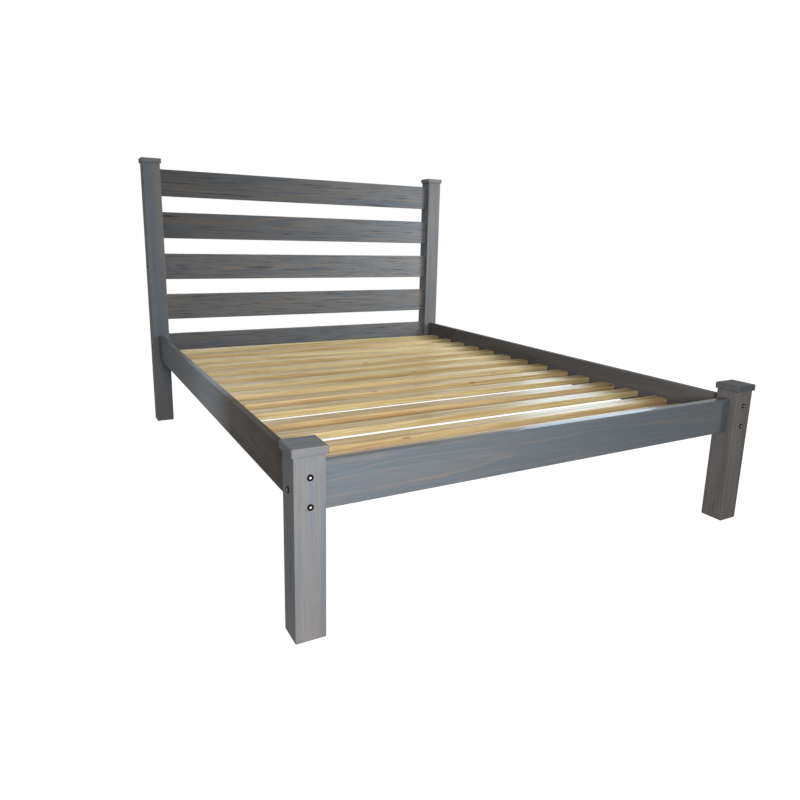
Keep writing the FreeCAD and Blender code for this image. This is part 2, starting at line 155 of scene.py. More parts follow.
class Bench:
    """Lays out the nodes of one material, or of the world, and joins them."""

    def __init__(self, owner: bpy.types.Material | bpy.types.World) -> None:
        """Start with no nodes.

        Args:
            owner: The material or the world.
        """
        self.owner = owner
        self.owner.use_nodes = True
        self.tree = self.owner.node_tree
        self.tree.nodes.clear()

    def node(self, kind: str, **settings: object) -> bpy.types.Node:
        """Add a node.

        Args:
            kind: The node's type, without the ShaderNode that it begins with.
            settings: Properties of the node.

        Returns:
            The new node.
        """
        made = self.tree.nodes.new(f"ShaderNode{kind}")
        for key, setting in settings.items():
            setattr(made, key, setting)
        return made

    def feed(self, socket: Socket, source: object) -> None:
        """Join a socket to what feeds it, or set it.

        Args:
            socket: The input to feed.
            source: An output socket, or a plain value.
        """
        if isinstance(source, Socket):
            self.tree.links.new(source, socket)
        else:
            socket.default_value = source

    def sum(self, operation: str, *terms: object) -> Socket:
        """Work out a number.

        Args:
            operation: The Math node's operation.
            terms: Its inputs, sockets or numbers.

        Returns:
            The result.
        """
        made = self.node("Math", operation=operation)
        for socket, term in zip(made.inputs, terms):
            self.feed(socket, term)
        return made.outputs[0]

    def stretch(self, place: Socket, factors: Place) -> Socket:
        """Multiply a place by a factor for each direction.

        Args:
            place: The place to stretch.
            factors: One factor for each of its three directions.

        Returns:
            The stretched place.
        """
        made = self.node("VectorMath", operation="MULTIPLY")
        self.feed(made.inputs[0], place)
        made.inputs[1].default_value = factors
        return made.outputs[0]

    def noise(self, place: Socket, factors: Place, detail: float = 2.0,
              roughness: float = 0.5) -> Socket:
        """Smooth noise, stretched differently in each direction.

        Args:
            place: Where on the board.
            factors: How many patches there are in a metre, each way.
            detail: Octaves of finer noise.
            roughness: How much the finer noise counts.

        Returns:
            A number round one half.
        """
        made = self.node("TexNoise", noise_dimensions="3D")
        self.feed(made.inputs["Vector"], self.stretch(place, factors))
        made.inputs["Scale"].default_value = 1.0
        made.inputs["Detail"].default_value = detail
        made.inputs["Roughness"].default_value = roughness
        return made.outputs[0]

    def spots(self, place: Socket, factors: Place) -> Socket:
        """Distance to the nearest of many scattered spots.

        Args:
            place: Where on the board.
            factors: How many spots there are in a metre, each way.

        Returns:
            The distance, in spacings.
        """
        made = self.node("TexVoronoi", voronoi_dimensions="3D", feature="F1")
        self.feed(made.inputs["Vector"], self.stretch(place, factors))
        made.inputs["Scale"].default_value = 1.0
        return made.outputs["Distance"]

    def grey(self, number: Socket) -> Socket:
        """Turn a number into an even grey.

        Args:
            number: The grey's level.

        Returns:
            The colour.
        """
        made = self.node("CombineColor")
        for socket in made.inputs:
            self.feed(socket, number)
        return made.outputs[0]

    def level(self, factor: Socket, low: float, high: float, start: float = 0.0,
              end: float = 1.0, smooth: bool = True) -> Socket:
        """Map one span of numbers to another, held at both ends.

        Args:
            factor: The number to map.
            low: The start of its span.
            high: The end of its span.
            start: What low becomes.
            end: What high becomes.
            smooth: Whether the passage is rounded off at both ends.

        Returns:
            The mapped number.
        """
        made = self.node("MapRange", clamp=True)
        made.interpolation_type = "SMOOTHSTEP" if smooth else "LINEAR"
        for socket, term in zip(made.inputs, (factor, low, high, start, end)):
            self.feed(socket, term)
        return made.outputs[0]

    def blend(self, share: object, first: object, second: object, mode: str = "MIX") -> Socket:
        """Mix two colours.

        Args:
            share: How much of the second colour.
            first: The colour below.
            second: The colour on top.
            mode: How they mix.

        Returns:
            The mixed colour.
        """
        made = self.node("Mix", data_type="RGBA", blend_type=mode)
        self.feed(made.inputs["Factor"], share)
        self.feed(made.inputs[6], first)
        self.feed(made.inputs[7], second)
        return made.outputs[2]

    def layer(self, ground: Socket, over: Colour, pattern: Socket, span: Span,
              strength: float) -> Socket:
        """Lay a colour over the ground where a pattern is strong.

        Args:
            ground: The colour below.
            over: The colour on top.
            pattern: The pattern.
            span: Where in its range the colour starts and is full.
            strength: How much of the colour shows where it is full.

        Returns:
            The mixed colour.
        """
        return self.blend(self.level(pattern, *span, 0.0, strength), ground, over)

    def surface(self, colour: Socket, rough: Socket, height: Socket, bump: float,
                relief: float) -> bpy.types.Node:
        """Make a surface.

        Args:
            colour: Its colour.
            rough: Its roughness.
            height: The pattern that stands up from it.
            bump: How strongly that shows.
            relief: How high that stands, in metres.

        Returns:
            The shader, with its other settings still plain.
        """
        shader = self.node("BsdfPrincipled")
        self.feed(shader.inputs["Base Color"], colour)
        self.feed(shader.inputs["Roughness"], rough)
        lift = self.node("Bump")
        lift.inputs["Strength"].default_value = bump
        lift.inputs["Distance"].default_value = relief
        self.feed(lift.inputs["Height"], height)
        self.feed(shader.inputs["Normal"], lift.outputs[0])
        return shader

    def finish(self, shader: Socket, output: str = "OutputMaterial") -> bpy.types.ID:
        """Join the last shader to the output.

        Args:
            shader: The surface or the background.
            output: The output node's type, as for node.

        Returns:
            The finished material or world.
        """
        self.feed(self.node(output).inputs["Surface"], shader)
        return self.owner


@dataclass(frozen=True)
class Timber:
    """How a softwood log shows on a sawn and planed face.

    The lengths are metres. Each Place says how many waves or spots of a pattern there are in
    a metre, along the grain and in the two ways across it.
    """

    ring_spacing: float = 0.0066
    wander: float = 0.013
    ripple: float = 0.0020
    late_start: float = 0.45
    late_peak: float = 0.86
    faintest_ring: float = 0.25
    knot_heart: float = 0.03
    knot_reach: float = 0.10
    swirl_reach: float = 0.40
    swirl: float = 0.012
    wanders: Place = (1.1, 8.0, 8.0)
    ripples: Place = (5.0, 45.0, 45.0)
    fibres: Place = (9.0, 620.0, 620.0)
    streaks: Place = (1.6, 60.0, 60.0)
    flecks: Place = (7.0, 120.0, 120.0)
    clouds: Place = (1.3, 13.0, 13.0)
    bands: Place = (1.1, 46.0, 46.0)
    patches: Place = (3.1, 27.0, 27.0)
    knots: Place = (2.6, 16.0, 16.0)

    def latewood(self, bench: Bench, place: Socket, knot: Socket) -> Socket:
        """Draw the year rings round the heart of the log.

        Args:
            bench: The material that is being made.
            place: Where in the log.
            knot: The distance to the nearest knot, which the rings swirl round.

        Returns:
            Nought in the pale wood of a ring, rising to the strength of its dark edge.
        """
        split = bench.node("SeparateXYZ")
        bench.feed(split.inputs[0], place)
        squares = [bench.sum("POWER", split.outputs[way], 2.0) for way in (1, 2)]
        radius = bench.sum("SQRT", bench.sum("ADD", *squares))
        for factors, reach in ((self.wanders, self.wander), (self.ripples, self.ripple)):
            shift = bench.sum("SUBTRACT", bench.noise(place, factors), 0.5)
            radius = bench.sum("MULTIPLY_ADD", shift, 2 * reach, radius)
        bulge = bench.level(knot, 0.0, self.swirl_reach, self.swirl, 0.0)
        count = bench.sum("DIVIDE", bench.sum("ADD", radius, bulge), self.ring_spacing)
        phase = bench.sum("FRACT", count)
        rise = bench.level(phase, self.late_start, self.late_peak)
        drop = bench.level(phase, self.late_peak, 1.0, 1.0, 0.0)
        ring = bench.node("TexWhiteNoise", noise_dimensions="1D")
        bench.feed(ring.inputs["W"], bench.sum("FLOOR", count))
        strength = bench.level(ring.outputs["Value"], 0.0, 1.0, self.faintest_ring, smooth=False)
        return bench.sum("MULTIPLY", bench.sum("MULTIPLY", rise, drop), strength)

    def read(self, bench: Bench) -> dict[str, Socket]:
        """Work out the figure of the wood at each point of a board.

        Args:
            bench: The material that is being made.

        Returns:
            Numbers for latewood, fibre, streak, fleck, cloud, band, patch and knot, and the
            board's edge, tone and warmth.
        """
        point = bench.node("Attribute", attribute_type="GEOMETRY", attribute_name=GRAIN)
        place = point.outputs["Vector"]
        cut = bench.node("Attribute", attribute_type="GEOMETRY", attribute_name=CUT)
        board = bench.node("SeparateXYZ")
        bench.feed(board.inputs[0], cut.outputs["Vector"])
        knot = bench.spots(place, self.knots)
        return {
            "late": self.latewood(bench, place, knot),
            "fibre": bench.noise(place, self.fibres, detail=3.0, roughness=0.6),
            "streak": bench.noise(place, self.streaks, detail=3.0, roughness=0.55),
            "fleck": bench.noise(place, self.flecks, roughness=0.6),
            "cloud": bench.noise(place, self.clouds, detail=3.0, roughness=0.55),
            "band": bench.noise(place, self.bands, detail=1.0),
            "patch": bench.noise(place, self.patches),
            "knot": bench.level(knot, self.knot_heart, self.knot_reach, 1.0, 0.0),
            "edge": board.outputs[0],
            "tone": board.outputs[1],
            "warmth": board.outputs[2],
        }


@dataclass(frozen=True)
class StainedPine:
    """Blue-grey stain that the rings take less of, so that they stay a pale brown.

    Each Span says where in a pattern's range its colour starts and is full, or the least and
    the most that it comes to.
    """

    name: str
    band: float
    streak: float
    fleck: float
    rings: float
    slate: Colour = (0.150, 0.186, 0.226, 1.0)
    ash: Colour = (0.192, 0.212, 0.234, 1.0)
    tan: Colour = (0.262, 0.226, 0.200, 1.0)
    umber: Colour = (0.150, 0.128, 0.112, 1.0)
    knot: Colour = (0.105, 0.086, 0.074, 1.0)
    # worn is the paler grey of rubbed edges, and it also paints a soft highlight along them.
    worn: Colour = (0.290, 0.285, 0.280, 1.0)
    timber: Timber = Timber()
    cloud_span: Span = (0.36, 0.64)
    band_span: Span = (0.42, 0.66)
    streak_span: Span = (0.46, 0.72)
    fleck_span: Span = (0.52, 0.72)
    ring_span: Span = (0.40, 0.62)
    faint_rings: float = 0.35
    knot_depth: float = 0.7
    fibre_span: Span = (0.28, 0.72)
    fibre_shade: Span = (0.88, 1.12)
    rub: float = 0.25
    rub_span: Span = (0.30, 0.66)
    faint_rub: float = 0.2
    roughness: Span = (0.41, 0.53)
    specular: float = 0.015
    coat: float = 0.0
    coat_roughness: float = 0.20
    late_height: float = 0.5
    bump: float = 0.30
    relief: float = 0.0003

    def make(self) -> bpy.types.Material:
        """Build the material.

        Returns:
            The material.
        """
        bench = Bench(bpy.data.materials.new(self.name))
        figure = self.timber.read(bench)
        patch = figure["patch"]
        ground = bench.blend(bench.level(figure["cloud"], *self.cloud_span), self.slate, self.ash)
        brown = bench.blend(bench.level(patch, *MID_RANGE), self.tan, self.umber)
        ground = bench.blend(figure["warmth"], ground, brown)
        ground = bench.layer(ground, self.tan, figure["band"], self.band_span, self.band)
        ground = bench.layer(ground, self.tan, figure["streak"], self.streak_span, self.streak)
        ground = bench.layer(ground, self.umber, figure["fleck"], self.fleck_span, self.fleck)
        shown = bench.level(patch, *self.ring_span, self.faint_rings * self.rings, self.rings)
        ground = bench.blend(bench.sum("MULTIPLY", figure["late"], shown), ground, self.tan)
        knot = bench.sum("MULTIPLY", figure["knot"], self.knot_depth)
        ground = bench.blend(knot, ground, self.knot)
        shade = bench.level(figure["fibre"], *self.fibre_span, *self.fibre_shade, smooth=False)
        shade = bench.sum("MULTIPLY", shade, figure["tone"])
        colour = bench.blend(1.0, ground, bench.grey(shade), mode="MULTIPLY")
        # Edge wear and a painted highlight: the rounded edges and the ends turn towards the paler
        # grey.
        rub = bench.level(patch, *self.rub_span, self.faint_rub * self.rub, self.rub)
        colour = bench.blend(bench.sum("MULTIPLY", figure["edge"], rub), colour, self.worn)
        rough = bench.level(figure["fibre"], *MID_RANGE, *self.roughness, smooth=False)
        height = bench.sum("MULTIPLY_ADD", figure["late"], self.late_height, figure["fibre"])
        shader = bench.surface(colour, rough, height, self.bump, self.relief)
        shader.inputs["Specular IOR Level"].default_value = self.specular
        shader.inputs["Coat Weight"].default_value = self.coat
        shader.inputs["Coat Roughness"].default_value = self.coat_roughness
        return bench.finish(shader.outputs[0])


@dataclass(frozen=True)
class BarePine:
    """Sanded pine with no finish: cream wood with honey-coloured rings and brown knots.

    The Spans are as in the stained finish.
    """

    name: str = "bare_pine_finish"
    cream: Colour = (0.85, 0.735, 0.425, 1.0)
    straw: Colour = (0.80, 0.655, 0.325, 1.0)
    peach: Colour = (0.84, 0.615, 0.325, 1.0)
    honey: Colour = (0.50, 0.315, 0.115, 1.0)
    knot: Colour = (0.22, 0.110, 0.050, 1.0)
    timber: Timber = Timber(ring_spacing=0.0046, wander=0.009, swirl=0.006,
                            streaks=(1.0, 52.0, 52.0), flecks=(2.4, 130.0, 130.0),
                            knots=(3.6, 22.0, 22.0))
    cloud_span: Span = (0.36, 0.64)
    streak: float = 0.85
    streak_span: Span = (0.45, 0.68)
    fleck: float = 0.60
    fleck_span: Span = (0.50, 0.70)
    rings: float = 0.62
    knot_depth: float = 0.85
    fibre_span: Span = (0.28, 0.72)
    fibre_shade: Span = (0.88, 1.11)
    rub: float = 0.25
    roughness: Span = (0.27, 0.41)
    specular: float = 0.26
    late_height: float = 0.4
    bump: float = 0.30
    relief: float = 0.0002

    def make(self) -> bpy.types.Material:
        """Build the material.

        Returns:
            The material.
        """
        bench = Bench(bpy.data.materials.new(self.name))
        figure = self.timber.read(bench)
        ground = bench.blend(bench.level(figure["cloud"], *self.cloud_span), self.cream,
                             self.straw)
        ground = bench.blend(figure["warmth"], ground, self.peach)
        ground = bench.layer(ground, self.honey, figure["streak"], self.streak_span, self.streak)
        ground = bench.layer(ground, self.honey, figure["fleck"], self.fleck_span, self.fleck)
        late = bench.sum("MULTIPLY", figure["late"], self.rings)
        ground = bench.blend(late, ground, self.honey)
        knot = bench.sum("MULTIPLY", figure["knot"], self.knot_depth)
        ground = bench.blend(knot, ground, self.knot)
        shade = bench.level(figure["fibre"], *self.fibre_span, *self.fibre_shade, smooth=False)
        shade = bench.sum("MULTIPLY", shade, figure["tone"])
        colour = bench.blend(1.0, ground, bench.grey(shade), mode="MULTIPLY")
        colour = bench.blend(bench.sum("MULTIPLY", figure["edge"], self.rub), colour, self.honey)
        rough = bench.level(figure["fibre"], *MID_RANGE, *self.roughness, smooth=False)
        height = bench.sum("MULTIPLY_ADD", figure["late"], self.late_height, figure["fibre"])
        shader = bench.surface(colour, rough, height, self.bump, self.relief)
        shader.inputs["Specular IOR Level"].default_value = self.specular
        return bench.finish(shader.outputs[0])


@dataclass(frozen=True)
class BlackSteel:
    """Black oxide on steel, with bare steel and a painted highlight on the floor of the socket.
    """

    name: str = "black_steel_finish"
    black: Colour = (0.004, 0.004, 0.005, 1.0)
    worn: Colour = (0.014, 0.014, 0.015, 1.0)
    # The near-white of the socket's floor: bare steel and a painted highlight.
    bright: Colour = (0.80, 0.81, 0.82, 1.0)
    patches: Place = (260.0, 260.0, 260.0)
    worn_span: Span = (0.45, 0.75)
    metallic: float = 0.3
    specular: float = 0.10
    roughness: Span = (0.34, 0.54)
    bump: float = 0.15
    relief: float = 0.0001

    def make(self) -> bpy.types.Material:
        """Build the material.

        Returns:
            The material.
        """
        bench = Bench(bpy.data.materials.new(self.name))
        place = bench.node("TexCoord").outputs["Object"]
        patch = bench.noise(place, self.patches, detail=3.0)
        socket_highlight_and_bare_steel = bench.node("Attribute", attribute_type="GEOMETRY", attribute_name=CUT)
        colour = bench.blend(bench.level(patch, *self.worn_span), self.black, self.worn)
        colour = bench.blend(socket_highlight_and_bare_steel.outputs["Fac"], colour, self.bright)
        rough = bench.level(patch, *MID_RANGE, *self.roughness)
        shader = bench.surface(colour, rough, patch, self.bump, self.relief)
        shader.inputs["Metallic"].default_value = self.metallic
        shader.inputs["Specular IOR Level"].default_value = self.specular
        return bench.finish(shader.outputs[0])


@dataclass(frozen=True)
class Log:
    """Where a board was sawn from its log, in metres from the board's own middle."""

    heart: tuple[float, float]
    tilt: tuple[float, float]
    start: float
    sideways: ClassVar[float] = 0.35
    below: ClassVar[Span] = (0.018, 0.060)
    wide_tilt: ClassVar[float] = 0.010
    thin_tilt: ClassVar[Span] = (0.006, 0.020)
    length: ClassVar[float] = 40.0

    @classmethod
    def draw(cls, dice: random.Random, width: float, depth: float) -> "Log":
        """Pick a place in the log.

        Args:
            dice: The source of chance.
            width: The board's wider way across, in metres.
            depth: The board's thinner way across, in metres.

        Returns:
            The place.
        """
        side = dice.choice((-1, 1))
        return cls(
            heart=(dice.uniform(-cls.sideways, cls.sideways) * width,
                   side * (depth / 2 + dice.uniform(*cls.below))),
            tilt=(dice.uniform(-cls.wide_tilt, cls.wide_tilt),
                  dice.uniform(*cls.thin_tilt) * dice.choice((-1, 1))),
            start=dice.uniform(-cls.length, cls.length),
        )


@dataclass
class Board:
    """A squared length of timber with rounded long edges and broken or square-cut ends.

    Each mark holds a place along the board, from -1 to 1, and its tone and warmth there.
    """

    name: str
    low: Vector
    high: Vector
    along: Axis
    edge_radius: float
    end_break: float
    log: Log
    marks: Marks
    span: float = 0.12
    corner_steps: int = 5
    end_rounding: float = 0.4
    end_wear: float = 0.7

    def size(self, way: int) -> float:
        """The board's size in one direction, in metres."""
        return self.high[way] - self.low[way]

    def stain(self, share: float) -> tuple[float, float]:
        """The board's tone and warmth at one place along it, which hold its stain and, on some
        boards, painted light and shade.

        Args:
            share: The place, from -1 at the board's start to 1 at its end.

        Returns:
            The tone and the warmth, read between the board's marks.
        """
        before = self.marks[0]
        for mark in self.marks:
            if mark[0] >= share:
                reach = mark[0] - before[0]
                part = (share - before[0]) / reach if reach > 0 else 0.0
                return (before[1] + part * (mark[1] - before[1]),
                        before[2] + part * (mark[2] - before[2]))
            before = mark
        return before[1], before[2]

    def outline(self, shrink: float) -> list[tuple[float, float, float]]:
        """The board's rounded section, as offsets from its middle.

        Args:
            shrink: How far the section is drawn in all round.

        Returns:
            The points of the section, anticlockwise, each with its share of edge wear.
        """
        first, second = self.along.others()
        half = (self.size(first) / 2 - shrink, self.size(second) / 2 - shrink)
        radius = max(self.edge_radius - shrink, self.edge_radius * self.end_rounding)
        points = []
        for quarter in range(4):
            sign = (1 if quarter in (0, 3) else -1, 1 if quarter in (0, 1) else -1)
            centre = (sign[0] * (half[0] - radius), sign[1] * (half[1] - radius))
            for step in range(self.corner_steps + 1):
                share = step / self.corner_steps
                angle = math.pi / 2 * (quarter + share)
                points.append((centre[0] + radius * math.cos(angle),
                               centre[1] + radius * math.sin(angle),
                               math.sin(math.pi * share)))
        return points

    def stations(self) -> list[tuple[float, float]]:
        """Places along the board where its section is set.

        Returns:
            Pairs of the distance from the board's middle and the section's shrink.
        """
        half = self.size(self.along.value) / 2
        inner = half - self.end_break
        count = max(1, round(2 * inner / self.span))
        rows = [(-inner + 2 * inner * step / count, 0.0) for step in range(count + 1)]
        if self.end_break > 0:
            rows = [(-half, self.end_break), *rows, (half, self.end_break)]
        return rows

    def build(self, material: bpy.types.Material, slot: Slot, node: str) -> bpy.types.Object:
        """Make the board, lay its grain and put it in its node's place.

        Args:
            material: The board's finish.
            slot: The record's slot for that finish.
            node: The CAD node that the board stands for.

        Returns:
            The board.
        """
        mesh = bmesh.new()
        first, second = self.along.others()
        middle = (self.low + self.high) / 2
        half = self.size(self.along.value) / 2
        rings = []
        cuts = []
        for distance, shrink in self.stations():
            least_wear = self.end_wear if shrink else 0.0
            ring = []
            for across, through, edge in self.outline(shrink):
                point = middle.copy()
                point[self.along.value] += distance
                point[first] += across
                point[second] += through
                ring.append(mesh.verts.new(point))
                cuts.append((max(edge, least_wear), *self.stain(distance / half)))
            rings.append(ring)
        join_rings(mesh, rings, smooth=True)
        for end in (list(reversed(rings[0])), rings[-1]):
            mesh.faces.new(end).smooth = True
        corners = (0, 1, -2, -1) if self.end_break > 0 else (0, -1)
        for ring in (rings[index] for index in corners):
            for point, after in zip(ring, ring[1:] + ring[:1]):
                mesh.edges.get((point, after)).smooth = False
        return self.place(mesh, cuts, middle, material, slot, node)

    def place(self, mesh: bmesh.types.BMesh, cuts: list[Place], middle: Vector,
              material: bpy.types.Material, slot: Slot, node: str) -> bpy.types.Object:
        """Turn the mesh into a piece of the bed.

        Args:
            mesh: The board's faces.
            cuts: Each point's share of edge wear, its tone and its warmth.
            middle: The board's middle.
            material: The board's finish.
            slot: Not used.
            node: The CAD node that the board stands for.

        Returns:
            The board.
        """
        piece = cast(self.name, mesh)
        data = piece.data
        self.lay_grain(data, middle)
        layer = data.attributes.new(CUT, "FLOAT_VECTOR", "POINT")
        for item, cut in zip(layer.data, cuts):
            item.vector = cut
        data.materials.append(material)
        weigh = piece.modifiers.new("even_faces", "WEIGHTED_NORMAL")
        weigh.keep_sharp = True
        weigh.weight = 100
        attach(piece, BODY)
        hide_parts(node)
        return piece

    def lay_grain(self, data: bpy.types.Mesh, middle: Vector) -> None:
        """Write each point's place in the log, along it and in two ways across from its heart.

        Args:
            data: The board's mesh.
            middle: The board's middle.
        """
        wide, thin = self.along.others()
        if self.size(wide) < self.size(thin):
            wide, thin = thin, wide
        layer = data.attributes.new(GRAIN, "FLOAT_VECTOR", "POINT")
        for vertex, item in zip(data.vertices, layer.data):
            offset = vertex.co - middle
            along = offset[self.along.value]
            item.vector = (
                along + self.log.start,
                offset[wide] - self.log.heart[0] - self.log.tilt[0] * along,
                offset[thin] - self.log.heart[1] - self.log.tilt[1] * along,
            )


@dataclass
class Frame:
    """The posts, caps, rails and cleats, which are all stained."""

    post: bpy.types.Material
    side: bpy.types.Material
    head: bpy.types.Material
    foot: bpy.types.Material
    post_radius: float = 0.003
    rail_radius: float = 0.004
    cap_radius: float = 0.003
    cleat_radius: float = 0.0015
    foot_rail_radius: float = 0.006
    post_break: float = 0.0012
    cap_break: float = 0.0022
    cleat_break: float = 0.001
    head_rails: int = 5
    # Some marks paint light and shade into the tone and warmth. The left side rail's dark, warm
    # foot end is painted shade and its much lighter middle a painted sheen. The head rails'
    # lighter right ends are painted light from the right. The foot rail's darker right end and
    # the right foot cap's darker tone are painted shade. The right side rail is darker towards
    # its head end and warm all along, as painted shade. The left foot post's lighter, warmer foot
    # is painted warm light. The left head post is darker towards the bottom.
    marks: dict[str, Marks] = field(default_factory=lambda: {
        "foot_post_left": ((-1.0, 1.18, 0.40), (-0.3, 1.07, 0.08), (1.0, 1.04, 0.06)),
        "foot_post_right": ((0.0, 0.82, 0.50),),
        "foot_cap_left": ((0.0, 1.03, 0.05),),
        "foot_cap_right": ((0.0, 0.57, 0.05),),
        "foot_rail": ((-1.0, 0.79, 0.0), (0.0, 0.67, 0.0), (1.0, 0.52, 0.0)),
        "side_rail_left": ((-1.0, 0.52, 1.0), (-0.62, 0.48, 1.0), (-0.38, 0.58, 0.85),
                           (-0.26, 1.80, 0.10), (-0.12, 2.45, 0.0), (0.06, 2.05, 0.0),
                           (0.34, 1.10, 0.0), (0.60, 0.80, 0.05), (1.0, 0.68, 0.15)),
        "head_post_left": ((-1.0, 0.76, 0.1), (-0.3, 0.88, 0.05), (1.0, 1.0, 0.0)),
        "head_post_right": ((0.0, 0.96, 0.30),),
        "side_rail_right": ((-1.0, 0.74, 0.55), (1.0, 0.55, 0.50)),
        "head_rail_1": ((-1.0, 0.57, 0.10), (1.0, 0.99, 0.15)),
        "head_rail_2": ((-1.0, 0.55, 0.00), (1.0, 1.13, 0.15)),
        "head_rail_3": ((-1.0, 0.78, 0.15), (1.0, 1.21, 0.25)),
        "head_rail_4": ((-1.0, 0.77, 0.15), (1.0, 1.01, 0.25)),
        "head_rail_5": ((-1.0, 0.66, 0.00), (1.0, 0.86, 0.05)),
    })
    dice: random.Random = field(default_factory=lambda: random.Random(11))

    def board(self, node: str, low: Vector, high: Vector, along: Axis, radius: float,
              end_break: float = 0.0) -> None:
        """Make one stained board.

        Args:
            node: The CAD node that it stands for, which it is also named after.
            low: Its lowest corner.
            high: Its highest corner.
            along: Its grain.
            radius: The rounding of its long edges.
            end_break: The bevel at its ends, or nought where they are cut square.
        """
        sizes = sorted(high[way] - low[way] for way in along.others())
        board = Board(node + "_board", low, high, along, radius, end_break,
                      Log.draw(self.dice, sizes[1], sizes[0]),
                      self.marks.get(node, PLAIN_MARKS))
        rails = {"side": self.side, "head": self.head, "foot": self.foot}
        material = rails[node.split("_", 1)[0]] if "rail" in node else self.post
        piece = board.build(material, Slot.STAINED, node)
        log.info("made %s", piece.name)

    def posts_and_caps(self) -> None:
        """Make the four posts up to the undersides of their caps, and the caps."""
        for end in ("foot", "head"):
            for side in ("left", "right"):
                cap_low, cap_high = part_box(f"{end}_cap_{side}")
                low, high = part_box(f"{end}_post_{side}")
                high.z = cap_low.z
                self.board(f"{end}_post_{side}", low, high, Axis.Z, self.post_radius,
                           self.post_break)
                self.board(f"{end}_cap_{side}", cap_low, cap_high, Axis.X, self.cap_radius,
                           self.cap_break)

    def cross_rails(self) -> None:
        """Make the foot rail and the headboard rails, cut square from post to post."""
        numbers = range(1, self.head_rails + 1)
        for node in ["foot_rail"] + [f"head_rail_{number}" for number in numbers]:
            end = node.split("_", 1)[0]
            low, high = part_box(node)
            low.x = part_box(f"{end}_post_left")[1].x
            high.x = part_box(f"{end}_post_right")[0].x
            radius = self.foot_rail_radius if end == "foot" else self.rail_radius
            self.board(node, low, high, Axis.X, radius)

    def side_rails(self) -> None:
        """Make the side rails, cut square from post to post, and their cleats."""
        for side in ("left", "right"):
            low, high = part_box(f"side_rail_{side}")
            low.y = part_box(f"foot_post_{side}")[1].y
            high.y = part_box(f"head_post_{side}")[0].y
            self.board(f"side_rail_{side}", low, high, Axis.Y, self.rail_radius)
            low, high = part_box(f"cleat_{side}")
            self.board(f"cleat_{side}", low, high, Axis.Y, self.cleat_radius,
                       self.cleat_break)

    def build(self) -> None:
        """Make all the stained boards."""
        self.posts_and_caps()
        self.cross_rails()
        self.side_rails()


@dataclass
class Deck:
    """The loose slats, darker and browner at their right ends as painted shade from the right
    side rail.

    Some have a tone and a warmth of their own, by number, and the others' are drawn; slat 14's
    darker tone is painted shade.
    """

    material: bpy.types.Material
    count: int = 14
    radius: float = 0.0008
    end_break: float = 0.0007
    span: float = 0.06
    tone_span: Span = (0.93, 1.06)
    warmth_span: Span = (0.0, 0.55)
    # Each slat's last stretch towards its right end carries painted shade: its tone falls and its
    # warmth rises there.
    unshaded_to: float = 0.78
    painted_shade_from: float = 0.88
    painted_shade_tone: float = 0.60
    painted_shade_warmth: float = 0.25
    # Slat 14 is darker as painted shade, where it shows as a dark line behind the foot rail.
    tones: dict[int, tuple[float, float]] = field(default_factory=lambda: {
        9: (1.00, 0.50), 10: (1.00, 0.05), 11: (0.88, 0.90), 12: (0.92, 0.15), 13: (1.10, 0.65),
        14: (0.80, 0.60),
    })
    dice: random.Random = field(default_factory=lambda: random.Random(29))

    def build(self) -> None:
        """Make every slat."""
        for number in range(1, self.count + 1):
            node = f"slat_{number:02d}"
            low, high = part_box(node)
            place = Log.draw(self.dice, high.y - low.y, high.z - low.z)
            drawn = (self.dice.uniform(*self.tone_span), self.dice.uniform(*self.warmth_span))
            tone, warmth = self.tones.get(number, drawn)
            # The second mark paints the shade on the slat's right end.
            marks = ((self.unshaded_to, tone, warmth),
                     (self.painted_shade_from, self.painted_shade_tone * tone, warmth + self.painted_shade_warmth))
            board = Board(node + "_board", low, high, Axis.X, self.radius, self.end_break,
                          place, marks, self.span)
            board.build(self.material, Slot.BARE, node)
            log.info("made %s", board.name)


